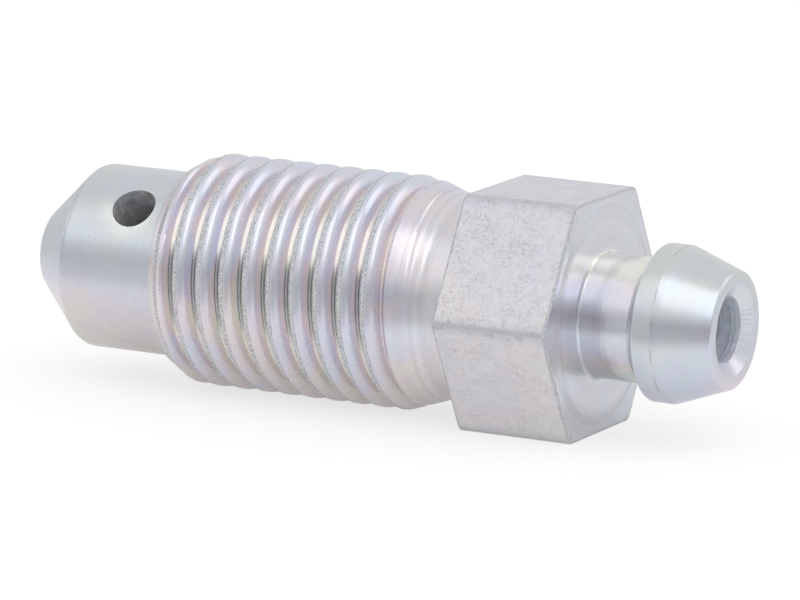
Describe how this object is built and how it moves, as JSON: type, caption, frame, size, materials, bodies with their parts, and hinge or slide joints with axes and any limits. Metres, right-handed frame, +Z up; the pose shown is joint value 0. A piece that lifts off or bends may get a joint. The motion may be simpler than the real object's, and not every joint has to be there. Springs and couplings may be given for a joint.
{
  "type": "bleeder screw",
  "caption": "Hydraulic bleeder screw: a sealing cone and cross-drilled pilot, a male thread, a hexagon and a hollow hose barb, lying on one flat.",
  "frame": {"origin": "centre of the flat at the end of the sealing cone, on the screw's axis", "axes": "+X along the axis towards the hose barb, +Z up with the hexagon lying on its lowest flat, +Y to the side away from the cross port"},
  "size_m": [0.0304, 0.0108, 0.0096],
  "materials": {
    "zinc_plate": "Bright zinc plate on steel with a thin clear passivate that shows faint blue, violet and yellow tints. Satin on the hexagon and the pilot, rough on the rolled crests of the thread."
  },
  "bodies": {
    "root": {"bleeder_screw": "zinc_plate"}
  },
  "joints": []
}
